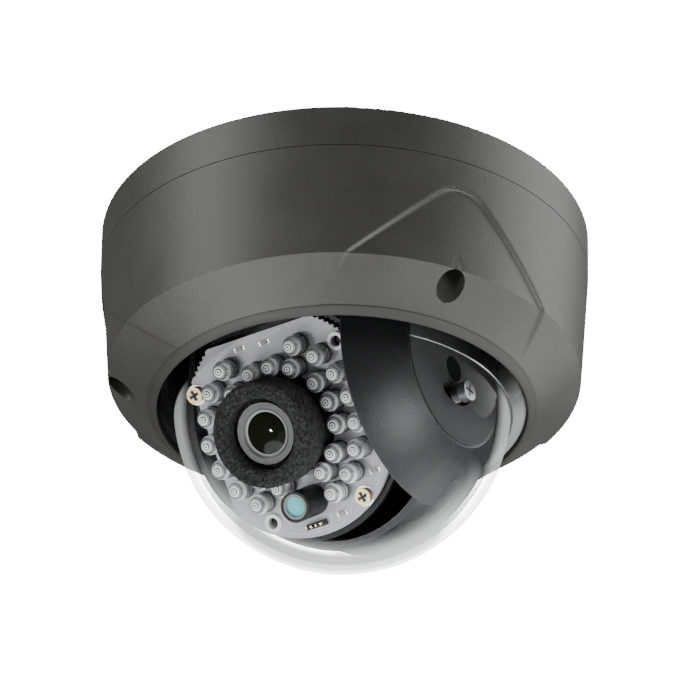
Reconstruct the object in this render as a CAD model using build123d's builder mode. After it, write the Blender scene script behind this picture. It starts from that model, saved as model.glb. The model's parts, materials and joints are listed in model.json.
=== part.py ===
"""Fixed-lens ceiling dome camera: die-cast base and cover, clear bubble, and a camera
module on a pan, tilt and turn bracket.  Millimetres; z = 0 is the face against the
ceiling, the dome hangs towards -Z, and the viewer stands on the -Y side."""
from build123d import *
import os
from math import cos, radians, sin

os.makedirs("parts", exist_ok=True)

# ---- driving dimensions ------------------------------------------------------------
BASE_R = 55.5            # radius of the base and of the cover's top edge
SPLIT_Z = -10.2          # joint line between base and cover
SEAL_GAP = 0.2           # dark line left at the joint by the seal
SHOULDER_R = 53.7        # corner between the side wall and the cone
SHOULDER_Z = -37.4
MOUTH_R = 41.9           # round opening the bubble comes through
MOUTH_Z = -46.2
BALL_Z = -44.4           # centre of the bubble, also the height of the tilt axis
BUBBLE_R = 38.0
BUBBLE_WALL = 2.2
SCREW_PITCH_R = 50.0     # cover screws
SCREW_ANGLES = (58, 178, 298)
PANEL_SINK = 0.6        # sunken shields round the cover screws
PAN_ANGLE = -34          # the way the camera is turned as stored
TILT_ANGLE = 37          # and how far it looks below level
LENS_OFFSET = -5.5       # lens axis beside the middle of the bracket
LINER_R = 34.8
LINER_WALL = 1.2
WINDOW_EDGE = 18.8       # straight edge of the liner's window
ARM_IN = 28.4            # bracket arms, inner and outer faces
ARM_OUT = 29.9
ARM_HALF_WIDTH = 17.8
MODULE_R = 32.8          # ball the tilting module stays inside
PIVOT_R = 3.0
FIT = 0.05               # radial running clearance
LOCK_R = 7.0             # tilt lock screw, from the tilt axis
BOARD_R = 25.9           # lamp board
BOARD_FRONT = 15.9       # its front face, ahead of the tilt axis
BOARD_T = 1.2
BOARD_TOP = 21.8
BOARD_LEFT = -20.5
LED_R = 2.25
LED_TIP = 22.0
OUTER_LEDS_R = 18.9
INNER_LEDS_R = 13.8
FOAM_FRONT = 30.6
FOAM_R = 12.1
FOAM_BORE = 8.2
BARREL_R = 7.0


def polar(radius, angles):
    """Points on a circle, for placing repeated features."""
    return [(radius * cos(radians(a)), radius * sin(radians(a))) for a in angles]


def ring(plane, outer, inner, low, high, mode=Mode.ADD):
    """Disc or ring between two heights above a plane."""
    with BuildSketch(plane.offset(low)) as outline:
        Circle(outer)
        if inner > 0:
            Circle(inner, mode=Mode.SUBTRACT)
    extrude(outline.sketch, amount=high - low, mode=mode)


def pegs(plane, spots, radius, low, high, mode=Mode.ADD):
    """Equal round posts, or holes, at several spots."""
    with BuildSketch(plane.offset(low)) as outline:
        with Locations(*spots):
            Circle(radius)
    extrude(outline.sketch, amount=high - low, mode=mode)


def blocks(plane, spots, wide, deep, low, high, mode=Mode.ADD):
    """Equal rectangular blocks at several spots."""
    with BuildSketch(plane.offset(low)) as outline:
        with Locations(*spots):
            Rectangle(wide, deep)
    extrude(outline.sketch, amount=high - low, mode=mode)


def cross_screws(plane, spots, head_r, head_h, shank_r, shank_len):
    """Pan-head screws with a cross recess; the plane is the seat under the heads."""
    pegs(plane, spots, head_r, 0, head_h)
    pegs(plane, spots, shank_r, -shank_len, 0)
    with BuildSketch(plane.offset(head_h * 0.45)) as recess:
        with Locations(*spots):
            Rectangle(head_r * 1.25, head_r * 0.28)
            Rectangle(head_r * 0.28, head_r * 1.25)
    extrude(recess.sketch, amount=head_h, mode=Mode.SUBTRACT)


# ---- frames ------------------------------------------------------------------------
TURN = radians(PAN_ANGLE)
DROP = radians(TILT_ANGLE)
AXIS_T = Vector(cos(TURN), sin(TURN), 0)
AXIS_O = Vector(cos(DROP) * sin(TURN), -cos(DROP) * cos(TURN), -sin(DROP))
AXIS_V = AXIS_O.cross(AXIS_T)
BALL = Vector(0, 0, BALL_Z)
ROOM = Plane.XY
PAN = Plane(origin=BALL, x_dir=AXIS_T, z_dir=(0, 0, 1))
SIDE = Plane(origin=BALL, x_dir=(-sin(TURN), cos(TURN), 0), z_dir=AXIS_T)
EDGE = Plane(origin=BALL, x_dir=AXIS_V, z_dir=AXIS_T)
LENS = Plane(origin=BALL + AXIS_T * LENS_OFFSET, x_dir=AXIS_T, z_dir=AXIS_O)

# ---- base: the die-cast disc fixed to the ceiling ------------------------------------
FLOOR_Z = -3.0
BASE_WALL_IN = 52.0
CEILING_HOLES = (90, 210, 330)
CEILING_PITCH_R = 42.0
CEILING_HOLE_R = 2.25
CABLE_SPOT = (0, 21)
CABLE_HOLE_R = 9.0
BOARD_POSTS = polar(38, (35, 145, 235, 305))
FRAME_POSTS = polar(32, (0, 120, 240))
PLATE_Z = -14.0

with BuildPart() as mounting_base:
    ring(ROOM, BASE_R, 0, FLOOR_Z, 0)
    ring(ROOM, BASE_R, BASE_WALL_IN, SPLIT_Z, FLOOR_Z)
    fillet(mounting_base.edges().filter_by(GeomType.CIRCLE).group_by(Axis.Z)[-1], 0.7)
    pegs(ROOM, polar(SCREW_PITCH_R - 0.3, SCREW_ANGLES), 4.4, SPLIT_Z, FLOOR_Z)
    pegs(ROOM, FRAME_POSTS, 3.2, PLATE_Z, FLOOR_Z)
    pegs(ROOM, BOARD_POSTS, 2.6, -6.5, FLOOR_Z)
    ring(ROOM, 54.7, 52.8, SPLIT_Z, -9.2, mode=Mode.SUBTRACT)
    pegs(ROOM, polar(SCREW_PITCH_R, SCREW_ANGLES), 1.55, SPLIT_Z, -2.0, mode=Mode.SUBTRACT)
    pegs(ROOM, FRAME_POSTS, 1.3, PLATE_Z, -4.5, mode=Mode.SUBTRACT)
    pegs(ROOM, BOARD_POSTS, 1.0, -6.5, -2.0, mode=Mode.SUBTRACT)
    pegs(ROOM, polar(CEILING_PITCH_R, CEILING_HOLES), CEILING_HOLE_R, FLOOR_Z, 0, mode=Mode.SUBTRACT)
    pegs(ROOM, [CABLE_SPOT], CABLE_HOLE_R, FLOOR_Z, 0, mode=Mode.SUBTRACT)

with BuildPart() as base_seal:
    ring(ROOM, 54.6, 52.9, SPLIT_Z - SEAL_GAP, -9.2)

with BuildPart() as cable_grommet:
    pegs(ROOM, [CABLE_SPOT], CABLE_HOLE_R, FLOOR_Z, -0.4)
    pegs(ROOM, [CABLE_SPOT], CABLE_HOLE_R + 2.0, -5.0, FLOOR_Z)
    pegs(ROOM, [CABLE_SPOT], 5.5, -9.0, -5.0)
    pegs(ROOM, [CABLE_SPOT], 3.1, -9.0, -0.4, mode=Mode.SUBTRACT)

with BuildPart() as main_board:
    ring(ROOM, 48.0, 0, -8.1, -6.5)
    pegs(ROOM, [CABLE_SPOT], 12.5, -8.1, -6.5, mode=Mode.SUBTRACT)
    pegs(ROOM, polar(CEILING_PITCH_R, CEILING_HOLES), 5.5, -8.1, -6.5, mode=Mode.SUBTRACT)
    pegs(ROOM, polar(SCREW_PITCH_R, SCREW_ANGLES), 6.5, -8.1, -6.5, mode=Mode.SUBTRACT)
    pegs(ROOM, FRAME_POSTS, 4.0, -8.1, -6.5, mode=Mode.SUBTRACT)
    pegs(ROOM, BOARD_POSTS, 1.2, -8.1, -6.5, mode=Mode.SUBTRACT)

with BuildPart() as board_chips:
    blocks(ROOM, [(-12, -12), (10, -14)], 13, 13, -9.6, -8.1)
    blocks(ROOM, [(-28, 4), (30, -12), (-24, -9)], 6, 8, -9.3, -8.1)
    pegs(ROOM, [(22, 20), (-32, -16)], 3.2, -12.4, -8.1)

with BuildPart() as board_connectors:
    blocks(ROOM, [(-4, -34), (10, -34)], 12, 5, -13.0, -8.1)
    blocks(ROOM, [(-4, -34), (10, -34)], 10, 3, -13.0, -9.4, mode=Mode.SUBTRACT)

BOARD_SEAT = Plane(origin=(0, 0, -8.1), x_dir=(1, 0, 0), z_dir=(0, 0, -1))
with BuildPart() as board_screws:
    cross_screws(BOARD_SEAT, [(x, -y) for x, y in BOARD_POSTS], 2.1, 1.5, 0.95, 5.0)

# ---- pan bearing under the base ------------------------------------------------------
PLATE_LOW = -16.0
HUB_R = 9.0
HUB_BORE = 6.0
HUB_END = -18.8

with BuildPart() as pan_base:
    ring(ROOM, 36.5, HUB_BORE, PLATE_LOW, PLATE_Z)
    ring(ROOM, HUB_R, HUB_BORE, HUB_END, PLATE_LOW)
    pegs(ROOM, FRAME_POSTS, 1.5, PLATE_LOW, PLATE_Z, mode=Mode.SUBTRACT)
    pegs(ROOM, FRAME_POSTS, 2.9, PLATE_LOW, PLATE_LOW + 1.1, mode=Mode.SUBTRACT)
    pegs(ROOM, polar(7.5, (30, 150, 270)), 0.6, HUB_END, PLATE_LOW + 1, mode=Mode.SUBTRACT)
    blocks(ROOM, polar(22, (60, 180, 300)), 9, 9, PLATE_LOW, PLATE_Z, mode=Mode.SUBTRACT)

PLATE_SEAT = Plane(origin=(0, 0, PLATE_LOW + 1.1), x_dir=(1, 0, 0), z_dir=(0, 0, -1))
with BuildPart() as pan_base_screws:
    cross_screws(PLATE_SEAT, [(x, -y) for x, y in FRAME_POSTS], 2.7, 1.0, 1.25, 8.0)

with BuildPart() as pan_retainer:
    ring(ROOM, 13.0, HUB_BORE, HUB_END - 1.5, HUB_END)
    pegs(ROOM, polar(7.5, (30, 150, 270)), 0.8, HUB_END - 1.5, HUB_END, mode=Mode.SUBTRACT)

HUB_SEAT = Plane(origin=(0, 0, HUB_END - 1.5), x_dir=(1, 0, 0), z_dir=(0, 0, -1))
with BuildPart() as hub_screws:
    cross_screws(HUB_SEAT, polar(7.5, (-30, -150, -270)), 1.4, 0.8, 0.55, 3.6)

# ---- cover: die-cast side wall, cone and mouth ---------------------------------------
COVER_TOP = SPLIT_Z - SEAL_GAP
LEDGE_Z = -42.4
LEDGE_R = 45.4
INNER_FLOOR_Z = -37.2
SCREW_SEAT_Z = -24.0
SCREW_HOLE_R = 3.15
RETAINER_SPOTS = polar(47.6, (0, 120, 240))


with BuildPart() as shell:
    with BuildSketch(Plane.XZ) as section:
        with BuildLine():
            Polyline(
                (52.6, COVER_TOP),
                (BASE_R, COVER_TOP),
                (SHOULDER_R, SHOULDER_Z),
                (MOUTH_R, MOUTH_Z),
                (MOUTH_R, LEDGE_Z),
                (LEDGE_R, LEDGE_Z),
                (LEDGE_R, INNER_FLOOR_Z),
                (50.8, INNER_FLOOR_Z),
                close=True,
            )
        make_face()
        corners = section.vertices().sort_by(Axis.Y)
        fillet(corners[0], 1.1)
    revolve(axis=Axis.Z)

with BuildPart() as pillar:
    with BuildSketch(Plane.XZ):
        with BuildLine():
            Polyline(
                (0, COVER_TOP - 0.4),
                (BASE_R - 0.3, COVER_TOP - 0.4),
                (SHOULDER_R, SHOULDER_Z),
                (MOUTH_R + 0.6, MOUTH_Z + 0.5),
                (0, MOUTH_Z + 0.5),
                close=True,
            )
        make_face()
    revolve(axis=Axis.Z)
    pegs(ROOM, [(SCREW_PITCH_R, 0)], 4.5, MOUTH_Z, COVER_TOP, mode=Mode.INTERSECT)

WEDGE = Plane(origin=(0, 0, 0), x_dir=(0, 1, 0), z_dir=(1, 0, 0))
with BuildPart() as shield_cut:
    with BuildSketch(Plane.XZ):
        with BuildLine():
            Polyline(
                (60, COVER_TOP),
                (BASE_R - PANEL_SINK, COVER_TOP),
                (SHOULDER_R - PANEL_SINK, SHOULDER_Z + PANEL_SINK * 0.35),
                (MOUTH_R + 2.7, MOUTH_Z + 2.01),
                (60, MOUTH_Z + 2.01),
                close=True,
            )
        make_face()
    revolve(axis=Axis.Z)
    with BuildSketch(WEDGE.offset(25)):
        with BuildLine():
            Polyline(
                (0, -13.8),
                (25.4, -37.2),
                (25.9, MOUTH_Z - 1),
                (-25.9, MOUTH_Z - 1),
                (-25.4, -37.2),
                close=True,
            )
        make_face()
        corners = vertices().sort_by(Axis.Y)
        fillet(corners[-1], 9.8)
        fillet(corners[-3:-1], 3.0)
    extrude(amount=35, mode=Mode.INTERSECT)

with BuildPart() as dome_cover:
    add(shell.part)
    with PolarLocations(0, 3, start_angle=SCREW_ANGLES[0]):
        add(pillar.part)
    with PolarLocations(0, 3, start_angle=SCREW_ANGLES[0]):
        add(shield_cut.part, mode=Mode.SUBTRACT)
    screw_spots = polar(SCREW_PITCH_R, SCREW_ANGLES)
    pegs(ROOM, screw_spots, SCREW_HOLE_R, MOUTH_Z - 1, SCREW_SEAT_Z, mode=Mode.SUBTRACT)
    pegs(ROOM, screw_spots, 1.7, SCREW_SEAT_Z - 1, 0, mode=Mode.SUBTRACT)
    pegs(ROOM, RETAINER_SPOTS, 1.1, -40.0, INNER_FLOOR_Z, mode=Mode.SUBTRACT)

COVER_SEAT = Plane(origin=(0, 0, SCREW_SEAT_Z - 0.6), x_dir=(1, 0, 0), z_dir=(0, 0, -1))
COVER_SPOTS = polar(SCREW_PITCH_R, [-a for a in SCREW_ANGLES])
with BuildPart() as cover_screws:
    pegs(COVER_SEAT, COVER_SPOTS, 2.9, 0, 2.2)
    pegs(COVER_SEAT, COVER_SPOTS, 1.5, -19.0, 0)
    with BuildSketch(COVER_SEAT.offset(0.9)):
        with Locations(*COVER_SPOTS):
            RegularPolygon(1.6, 3)
            RegularPolygon(1.6, 3, rotation=60)
            Circle(0.35, mode=Mode.SUBTRACT)
    extrude(amount=2, mode=Mode.SUBTRACT)

with BuildPart() as screw_seals:
    pegs(COVER_SEAT, COVER_SPOTS, 2.9, -0.6, 0)
    pegs(COVER_SEAT, COVER_SPOTS, 1.55, -0.6, 0, mode=Mode.SUBTRACT)

# ---- bubble, its gasket and its clamp ring -------------------------------------------
FLANGE_LOW = -41.6
FLANGE_TOP = -39.4
INNER_R = BUBBLE_R - BUBBLE_WALL


def arc_point(radius, angle):
    """Point on the bubble's section, by its angle below level."""
    return (radius * cos(radians(angle)), BALL_Z - radius * sin(radians(angle)))


with BuildPart() as dome_bubble:
    with BuildSketch(Plane.XZ):
        with BuildLine():
            ThreePointArc((0, BALL_Z - BUBBLE_R), arc_point(BUBBLE_R, 45), arc_point(BUBBLE_R, 4.2))
            Polyline(
                arc_point(BUBBLE_R, 4.2),
                (38.5, -47.1),
                (41.3, -45.6),
                (41.6, -45.1),
                (41.6, FLANGE_LOW),
                (45.1, FLANGE_LOW),
                (45.1, FLANGE_TOP),
                (39.5, FLANGE_TOP),
                (39.5, -41.2),
                (INNER_R, BALL_Z),
            )
            ThreePointArc((INNER_R, BALL_Z), arc_point(INNER_R, 45), (0, BALL_Z - INNER_R))
            Line((0, BALL_Z - INNER_R), (0, BALL_Z - BUBBLE_R))
        make_face()
    revolve(axis=Axis.Z)

with BuildPart() as bubble_gasket:
    ring(ROOM, 45.2, 42.0, LEDGE_Z, FLANGE_LOW)

with BuildPart() as bubble_retainer:
    ring(ROOM, 45.1, 39.7, FLANGE_TOP, INNER_FLOOR_Z)
    with BuildSketch(ROOM.offset(INNER_FLOOR_Z)):
        Circle(45.1)
        with Locations(*RETAINER_SPOTS):
            Circle(2.8)
        with PolarLocations(45.5, 3):
            Rectangle(5, 5.6)
        Circle(39.7, mode=Mode.SUBTRACT)
        with Locations(*RETAINER_SPOTS):
            Circle(1.2, mode=Mode.SUBTRACT)
    extrude(amount=1.4)

RETAINER_SEAT = ROOM.offset(INNER_FLOOR_Z + 1.4)
with BuildPart() as retainer_screws:
    cross_screws(RETAINER_SEAT, RETAINER_SPOTS, 2.1, 1.4, 1.05, 4.0)

# ---- pan body: turntable, bracket and black liner ------------------------------------
TABLE_TOP = -16.3
TABLE_LOW = -18.5
BRIDGE_LOW = -20.5
YOKE_SPOTS = polar(25.5, (30, 150, 270))
SLOT_HALF = 1.6
LOCK_ARC = CenterArc((0, 0), LOCK_R, -112, 77)

with BuildPart() as turntable:
    ring(ROOM, 35.5, HUB_R + FIT, TABLE_LOW, TABLE_TOP)
    pegs(PAN.offset(-BALL_Z), YOKE_SPOTS, 1.0, TABLE_LOW, TABLE_TOP, mode=Mode.SUBTRACT)

with BuildPart() as yoke:
    with BuildSketch(PAN.offset(BRIDGE_LOW - BALL_Z)):
        Circle(LINER_R)
        Rectangle(2 * ARM_OUT, 80, mode=Mode.INTERSECT)
        Circle(14.5, mode=Mode.SUBTRACT)
        with Locations(*YOKE_SPOTS):
            Circle(1.3, mode=Mode.SUBTRACT)
    extrude(amount=TABLE_LOW - BRIDGE_LOW)
    for inner_face in (ARM_IN, -ARM_OUT):
        with BuildSketch(SIDE.offset(inner_face)):
            Circle(ARM_HALF_WIDTH)
            with Locations((0, (BRIDGE_LOW - BALL_Z) / 2)):
                Rectangle(2 * ARM_HALF_WIDTH, BRIDGE_LOW - BALL_Z)
            Circle(PIVOT_R + FIT, mode=Mode.SUBTRACT)
            SlotArc(LOCK_ARC, 2 * SLOT_HALF, mode=Mode.SUBTRACT)
        extrude(amount=ARM_OUT - ARM_IN)

BRIDGE_SEAT = Plane(origin=BALL + Vector(0, 0, BRIDGE_LOW - BALL_Z), x_dir=AXIS_T, z_dir=(0, 0, -1))
with BuildPart() as yoke_screws:
    cross_screws(BRIDGE_SEAT, [(x, -y) for x, y in YOKE_SPOTS], 2.0, 1.3, 0.95, 4.0)

COLLAR_Z = -38.2
BRIM_Z = -37.0
BRIM_R = 38.4

with BuildPart() as liner:
    with Locations(BALL):
        Sphere(LINER_R)
    ring(PAN, 60, 0, 0, 60, mode=Mode.SUBTRACT)
    ring(PAN, LINER_R, 0, 0, COLLAR_Z - BALL_Z)
    with Locations(BALL):
        Sphere(LINER_R - LINER_WALL, mode=Mode.SUBTRACT)
    ring(PAN, LINER_R - LINER_WALL, 0, 0, 30, mode=Mode.SUBTRACT)
    ring(PAN, BRIM_R, LINER_R - LINER_WALL, COLLAR_Z - BALL_Z, BRIM_Z - BALL_Z)
    with BuildSketch(SIDE.offset(-ARM_OUT)):
        with Locations((-9, -14)):
            Rectangle(62, 46)
    extrude(amount=ARM_OUT + WINDOW_EDGE, mode=Mode.SUBTRACT)
    for inner_face in (ARM_IN, -ARM_OUT - 5):
        with BuildSketch(SIDE.offset(inner_face)):
            Circle(ARM_HALF_WIDTH)
            with Locations((0, 20)):
                Rectangle(2 * ARM_HALF_WIDTH, 40)
        extrude(amount=ARM_OUT + 5 - ARM_IN, mode=Mode.SUBTRACT)
    with BuildSketch(PAN.offset(-40)):
        Rectangle(2 * ARM_OUT - 0.6, 100)
    extrude(amount=40 + COLLAR_Z - BALL_Z, mode=Mode.INTERSECT)

# ---- tilting module: chassis, chin, lamp board and lamps ------------------------------
CHASSIS_BACK = 12.4
CHASSIS_FRONT = 14.2
BORE_R = 9.45
CHEEK_IN = 26.9
CHEEK_OUT = 28.1
FIXINGS = polar(24.0, (147.5,)) + polar(23.8, (-59.0,))
OPEN_HOLES = polar(23.2, (38.5, -121.0))
LOCK_SPOT = (-LOCK_R * cos(DROP), LOCK_R * sin(DROP))
TUBE_SPOT = (-0.3, -17.7)

with BuildPart() as chassis:
    with BuildSketch(LENS.offset(CHASSIS_BACK)):
        Circle(27.2)
        with Locations((-LENS_OFFSET, 0)):
            Rectangle(2 * CHEEK_OUT, 22)
            Rectangle(2 * CHEEK_OUT, 60, mode=Mode.INTERSECT)
    extrude(amount=CHASSIS_FRONT - CHASSIS_BACK)
    for inner_face in (CHEEK_IN, -CHEEK_OUT):
        with BuildSketch(EDGE.offset(inner_face)):
            Circle(11.0)
            with Locations((0, 7)):
                Rectangle(22, 14)
        extrude(amount=CHEEK_OUT - CHEEK_IN)
    with BuildSketch(LENS.offset(5.5)):
        Circle(BORE_R + 1.8)
    extrude(amount=CHASSIS_FRONT - 5.5)
    with Locations(BALL):
        Sphere(MODULE_R, mode=Mode.INTERSECT)
    ring(LENS, BORE_R, 0, 0, 20, mode=Mode.SUBTRACT)
    for inner_face in (CHEEK_OUT, -ARM_OUT):
        with BuildSketch(EDGE.offset(inner_face)):
            Circle(PIVOT_R)
        extrude(amount=ARM_OUT - CHEEK_OUT)
    for inner_face in (CHEEK_IN, -CHEEK_OUT):
        with BuildSketch(EDGE.offset(inner_face)):
            with Locations(LOCK_SPOT):
                Circle(1.3)
        extrude(amount=CHEEK_OUT - CHEEK_IN, mode=Mode.SUBTRACT)
    pegs(LENS, FIXINGS + OPEN_HOLES, 2.0, CHASSIS_FRONT, BOARD_FRONT - BOARD_T)
    pegs(LENS, FIXINGS, 0.85, CHASSIS_BACK, BOARD_FRONT, mode=Mode.SUBTRACT)

with BuildPart() as chin:
    with Locations(BALL):
        Sphere(MODULE_R)
    with Locations(BALL):
        Sphere(MODULE_R - 1.4, mode=Mode.SUBTRACT)
    with BuildSketch(EDGE.offset(-CHEEK_IN + 0.4)):
        with BuildLine():
            Polyline((0, 0), (-60, -30), (-60, CHASSIS_BACK), (0, CHASSIS_BACK), close=True)
        make_face()
    extrude(amount=2 * CHEEK_IN - 0.8, mode=Mode.INTERSECT)
    with BuildSketch(EDGE.offset(-CHEEK_IN)):
        with Locations((-10, 0)):
            Rectangle(20, 2 * CHASSIS_BACK)
    extrude(amount=2 * CHEEK_IN, mode=Mode.SUBTRACT)

with BuildPart() as lamp_board:
    with BuildSketch(LENS.offset(BOARD_FRONT - BOARD_T)):
        Circle(BOARD_R)
        with Locations((BOARD_LEFT + 50, BOARD_TOP - 50)):
            Rectangle(100, 100, mode=Mode.INTERSECT)
        with Locations(FIXINGS[0]):
            Circle(2.1)
        with Locations(*polar(BOARD_R + 0.1, range(40, 60, 3)), *polar(BOARD_R + 0.1, range(126, 140, 3))):
            Circle(0.55, mode=Mode.SUBTRACT)
        Circle(11.3, mode=Mode.SUBTRACT)
        with Locations(*FIXINGS):
            Circle(0.9, mode=Mode.SUBTRACT)
        with Locations(*OPEN_HOLES):
            Circle(1.3, mode=Mode.SUBTRACT)
    extrude(amount=BOARD_T)

with BuildPart() as lamp_board_screws:
    cross_screws(LENS.offset(BOARD_FRONT), FIXINGS, 1.9, 1.3, 0.8, 3.2)

with BuildPart() as hole_collars:
    pegs(LENS, OPEN_HOLES, 2.05, BOARD_FRONT, BOARD_FRONT + 0.7)
    pegs(LENS, OPEN_HOLES, 1.3, BOARD_FRONT, BOARD_FRONT + 0.7, mode=Mode.SUBTRACT)

OUTER_LEDS = [61 - 18.4 * k for k in range(8)] + [121 + 18.4 * k for k in range(7)]
INNER_LEDS = [c + d for c in (81, 9, -63, -135, 153) for d in (-22, 0, 22) if c + d != -85]
LED_SPOTS = polar(OUTER_LEDS_R, OUTER_LEDS) + polar(INNER_LEDS_R, INNER_LEDS)
LED_DOME = LED_TIP - LED_R

with BuildPart() as infrared_leds:
    pegs(LENS, LED_SPOTS, LED_R + 0.15, BOARD_FRONT, BOARD_FRONT + 0.9)
    pegs(LENS, LED_SPOTS, LED_R, BOARD_FRONT + 0.9, LED_DOME)
    with Locations(*[LENS.offset(LED_DOME) * Pos(x, y, 0) for x, y in LED_SPOTS]):
        Sphere(LED_R)

CHIP_SPOTS = polar(22.9, (-8, -26, -43)) + [(-6.5, -19.6), (5.4, -22.6), (0.5, 19.2), (-6.0, 19.6)]
with BuildPart() as board_chip_parts:
    blocks(LENS, CHIP_SPOTS, 1.6, 0.9, BOARD_FRONT, BOARD_FRONT + 0.5)

HEADER_SPOT = (-1.4, -23.2)
with BuildPart() as header_base:
    blocks(LENS, [HEADER_SPOT], 5.2, 1.3, BOARD_FRONT, BOARD_FRONT + 0.9)
    blocks(LENS, [(HEADER_SPOT[0] + 1.27 * k, HEADER_SPOT[1]) for k in (-1.5, -0.5, 0.5, 1.5)],
           0.5, 0.5, BOARD_FRONT, BOARD_FRONT + 0.9, mode=Mode.SUBTRACT)

with BuildPart() as header_pins:
    blocks(LENS, [(HEADER_SPOT[0] + 1.27 * k, HEADER_SPOT[1]) for k in (-1.5, -0.5, 0.5, 1.5)],
           0.5, 0.5, BOARD_FRONT, BOARD_FRONT + 2.4)

# ---- daylight sensor in its tube -------------------------------------------------------
TUBE_FRONT = 25.5
TUBE_R = 3.5

with BuildPart() as sensor_tube:
    pegs(LENS, [TUBE_SPOT], TUBE_R, BOARD_FRONT, TUBE_FRONT)
    pegs(LENS, [TUBE_SPOT], 2.3, BOARD_FRONT + 1, TUBE_FRONT, mode=Mode.SUBTRACT)
    pegs(LENS, [TUBE_SPOT], 2.95, TUBE_FRONT - 0.8, TUBE_FRONT, mode=Mode.SUBTRACT)

with BuildPart() as sensor_rim:
    pegs(LENS, [TUBE_SPOT], 2.95, TUBE_FRONT - 0.8, TUBE_FRONT - 0.2)
    pegs(LENS, [TUBE_SPOT], 2.3, TUBE_FRONT - 0.8, TUBE_FRONT - 0.2, mode=Mode.SUBTRACT)

with BuildPart() as sensor_window:
    pegs(LENS, [TUBE_SPOT], 2.3, TUBE_FRONT - 3.4, TUBE_FRONT - 0.7)

# ---- tilt lock screws ------------------------------------------------------------------
LOCK_HEAD = 32.2
SIDE_BACK = Plane(origin=BALL, x_dir=(sin(TURN), -cos(TURN), 0), z_dir=AXIS_T * -1)
with BuildPart() as tilt_lock_screws:
    for cheek in (SIDE, SIDE_BACK):
        cross_screws(cheek.offset(LOCK_HEAD), [(0, -LOCK_R)], 2.3, 2.0, 1.25, LOCK_HEAD - CHEEK_IN)

# ---- lens group, turning about the lens axis -------------------------------------------
HOLDER_R = BORE_R - FIT
HOLDER_FRONT = 14.5
BARREL_FRONT = 27.8
SENSOR_SPOTS = [(8.6, 8.6), (-8.6, -8.6)]

with BuildPart() as lens_holder:
    blocks(LENS, [(0, 0)], 21, 21, -1.5, 2.4)
    ring(LENS, HOLDER_R, 0, 2.4, HOLDER_FRONT)
    ring(LENS, 11.0, 0, 3.9, 5.2)
    ring(LENS, BARREL_R, 0, 4.5, HOLDER_FRONT, mode=Mode.SUBTRACT)
    ring(LENS, 4.0, 0, 1.5, 4.5, mode=Mode.SUBTRACT)
    blocks(LENS, [(0, 0)], 14, 14, -1.5, 1.5, mode=Mode.SUBTRACT)
    pegs(LENS, SENSOR_SPOTS, 0.8, -1.5, 2.4, mode=Mode.SUBTRACT)

with BuildPart() as turn_ring:
    ring(LENS, 10.9, BARREL_R, HOLDER_FRONT, 15.5)
    blocks(LENS, polar(10.9, (0, 90, 180, 270)), 1.4, 1.4, HOLDER_FRONT, 15.5, mode=Mode.SUBTRACT)

with BuildPart() as lens_barrel:
    ring(LENS, BARREL_R, 0, 5.0, BARREL_FRONT)
    ring(LENS, 4.4, 0, 5.0, BARREL_FRONT, mode=Mode.SUBTRACT)
    with Locations(LENS.offset(BARREL_FRONT - 0.55) * Pos(0, 0, 0)):
        Cone(4.4, 5.9, 1.1, mode=Mode.SUBTRACT)

with BuildPart() as front_lens:
    ring(LENS, 4.4, 0, 23.0, 25.7)
    with Locations(LENS.offset(17.2) * Pos(0, 0, 0)):
        Sphere(9.6)
    ring(LENS, 4.4, 0, 23.0, 30.0, mode=Mode.INTERSECT)

with BuildPart() as rear_lens:
    ring(LENS, 4.4, 0, 7.0, 10.5)
    ring(LENS, 4.4, 0, 15.0, 18.0)

with BuildPart() as foam_ring:
    ring(LENS, 11.0, BARREL_R, 15.6, LED_TIP + 0.4)
    ring(LENS, FOAM_R, BARREL_R, LED_TIP + 0.4, 26.0)
    ring(LENS, FOAM_R, FOAM_BORE, 26.0, FOAM_FRONT)

with BuildPart() as sensor_board:
    blocks(LENS, [(0, 0)], 22, 22, -3.1, -1.5)
    pegs(LENS, SENSOR_SPOTS, 0.9, -3.1, -1.5, mode=Mode.SUBTRACT)

with BuildPart() as image_sensor:
    blocks(LENS, [(0, 0)], 9, 8, -1.5, -0.4)

with BuildPart() as infrared_filter:
    blocks(LENS, [(0, 0)], 11, 11, 0.9, 1.5)

with BuildPart() as sensor_connector:
    blocks(LENS, [(0, -7)], 13, 3.4, -5.6, -3.1)

SENSOR_BACK = Plane(origin=LENS.origin - AXIS_O * 3.1, x_dir=AXIS_T, z_dir=AXIS_O * -1)
with BuildPart() as sensor_screws:
    cross_screws(SENSOR_BACK, [(x, -y) for x, y in SENSOR_SPOTS], 1.5, 1.0, 0.75, 4.6)

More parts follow.
